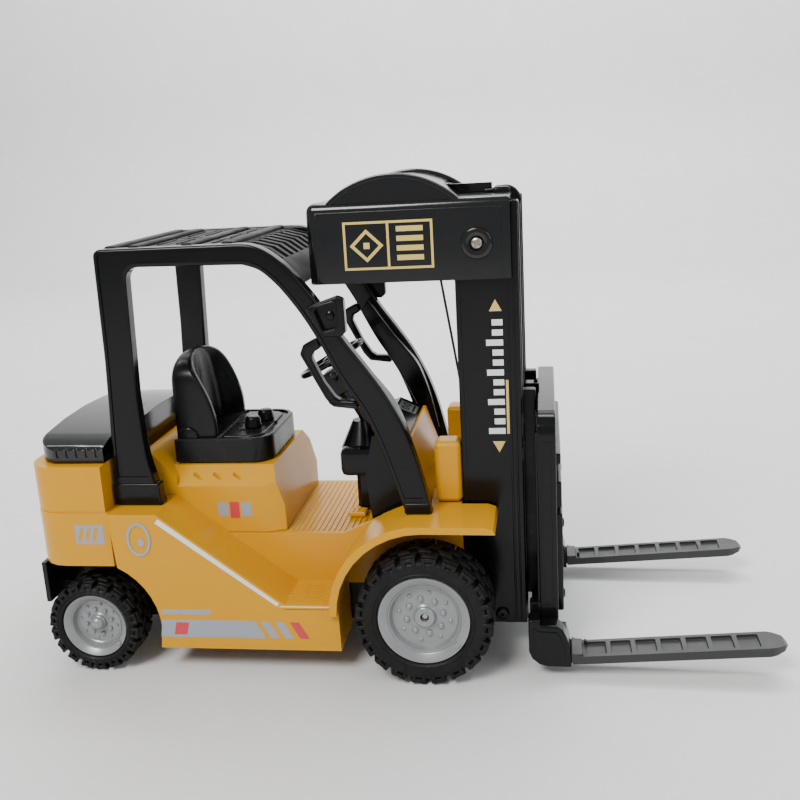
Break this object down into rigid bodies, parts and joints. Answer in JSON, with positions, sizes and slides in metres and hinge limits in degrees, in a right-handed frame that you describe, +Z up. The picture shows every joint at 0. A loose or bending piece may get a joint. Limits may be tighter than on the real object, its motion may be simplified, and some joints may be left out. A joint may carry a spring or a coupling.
{
  "type": "toy forklift truck",
  "caption": "Toy forklift truck with rolling wheels, a turning steering wheel and a fork carriage that a cord loop hauls up and down the mast.",
  "frame": {"origin": "on the ground at the centre of the footprint", "axes": "+X towards the fork tips, +Y to the truck's left, +Z up"},
  "size_m": [0.33, 0.138, 0.216],
  "materials": {
    "yellow": "glossy golden yellow moulding",
    "black": "satin to glossy black moulding",
    "silver": "silver-grey painted plastic",
    "rubber": "soft black rubber",
    "steel": "bright nickel plate",
    "cord": "thin black braided cord"
  },
  "bodies": {
    "truck": {"body_shell": "yellow", "counterweight": "yellow", "seat_box": "yellow", "dash_cowl": "yellow", "pedal": "yellow", "mast_bracket_right": "yellow", "mast_bracket_left": "yellow", "engine_cover": "black", "seat_base": "black", "seat_back": "black", "lever_knob_a": "black", "lever_knob_b": "black", "dashboard": "black", "underframe": "black", "guard_side_right": "black", "guard_side_left": "black", "guard_roof": "black", "grab_handle_right": "black", "grab_handle_left": "black", "lamp_housing_right": "black", "lamp_housing_left": "black", "mast_column_right": "black", "mast_column_left": "black", "mast_top_bar": "black", "mast_foot_bar": "black", "winch_half_right": "black", "winch_half_left": "black", "winch_screw_right": "steel", "winch_screw_left": "steel", "cord_top": "cord", "cord_rear": "cord", "cord_lift": "cord", "cord_lower": "cord"},
    "front_wheels": {"front_axle": "steel", "rim_front_right": "silver", "rim_front_left": "silver", "tyre_front_right": "rubber", "tyre_front_left": "rubber"},
    "rear_wheels": {"rear_axle": "steel", "rim_rear_right": "silver", "rim_rear_left": "silver", "hub_cap_rear_right": "silver", "hub_cap_rear_left": "silver", "tyre_rear_right": "rubber", "tyre_rear_left": "rubber"},
    "steering": {"steering_wheel": "black"},
    "drum": {"winding_drum": "black"},
    "pulley_top": {"top_pulley": "black"},
    "pulley_low": {"low_pulley": "black"},
    "carriage": {"load_backrest": "black", "slide_right": "black", "slide_left": "black", "fork_hook_right": "black", "fork_hook_left": "black", "fork_right": "black", "fork_left": "black"}
  },
  "joints": [
    {"name": "front_wheels_roll", "type": "hinge", "parent": "truck", "child": "front_wheels", "pos_m": [0.013, 0, 0.03], "axis": [0, 1, 0], "continuous": true},
    {"name": "rear_wheels_roll", "type": "hinge", "parent": "truck", "child": "rear_wheels", "pos_m": [-0.1395, 0, 0.022], "axis": [0, 1, 0], "continuous": true},
    {"name": "steering_turn", "type": "hinge", "parent": "truck", "child": "steering", "pos_m": [-0.034, 0, 0.131], "axis": [-0.4695, 0, 0.8829], "continuous": true},
    {"name": "lift", "type": "slide", "parent": "truck", "child": "carriage", "axis": [0, 0, 1], "range_m": [0, 0.07], "deforming": ["cord_lift", "cord_lower"]},
    {"name": "drum_turn", "type": "hinge", "parent": "truck", "child": "drum", "pos_m": [0.0028, 0, 0.19], "axis": [0, 1, 0], "range_deg": [0, 300]},
    {"name": "top_pulley_turn", "type": "hinge", "parent": "truck", "child": "pulley_top", "pos_m": [0.05, 0, 0.201], "axis": [0, 1, 0], "range_deg": [-681, 0]},
    {"name": "low_pulley_turn", "type": "hinge", "parent": "truck", "child": "pulley_low", "pos_m": [0.046, 0, 0.028], "axis": [0, 1, 0], "range_deg": [-681, 0]}
  ],
  "couplings": [
    {"joint": "drum_turn", "follows": "lift", "rad_per_m": 74.627},
    {"joint": "top_pulley_turn", "follows": "lift", "rad_per_m": -169.49},
    {"joint": "low_pulley_turn", "follows": "lift", "rad_per_m": -169.49}
  ]
}
